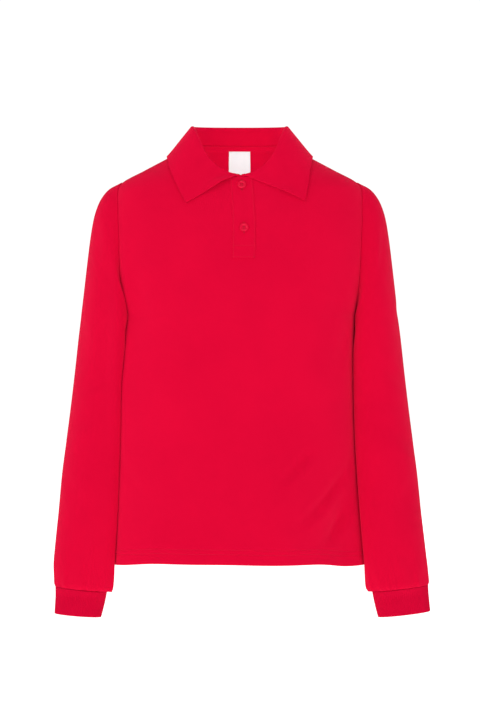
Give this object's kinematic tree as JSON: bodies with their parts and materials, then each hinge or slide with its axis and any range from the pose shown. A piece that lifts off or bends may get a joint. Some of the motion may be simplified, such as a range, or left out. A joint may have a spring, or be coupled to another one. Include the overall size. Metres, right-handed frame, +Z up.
{
  "type": "long-sleeve polo shirt",
  "caption": "Long-sleeve polo shirt in pique, filled out as worn: folded knit collar, short buttoned placket, rib cuffs and a straight hem.",
  "frame": {"origin": "where the wearer's shoulders carry the shirt: the middle of the neck opening, level with the inner ends of the shoulder seams", "axes": "+Z up, -Y to the front, +X to the wearer's left"},
  "size_m": [0.5048, 0.2075, 0.6635],
  "materials": {
    "red_pique": "matte pique knit",
    "red_rib": "matte rib knit",
    "red_button": "soft gloss",
    "white_label": "matte woven satin"
  },
  "bodies": {
    "root": {"front": "red_pique", "back": "red_pique", "sleeve_left": "red_pique", "sleeve_right": "red_pique", "cuff_left": "red_rib", "cuff_right": "red_rib", "collar": "red_rib", "placket_upper": "red_pique", "placket_lower": "red_pique", "button_top": "red_button", "button_second": "red_button", "neck_tape": "red_pique", "neck_label": "white_label"}
  },
  "joints": []
}
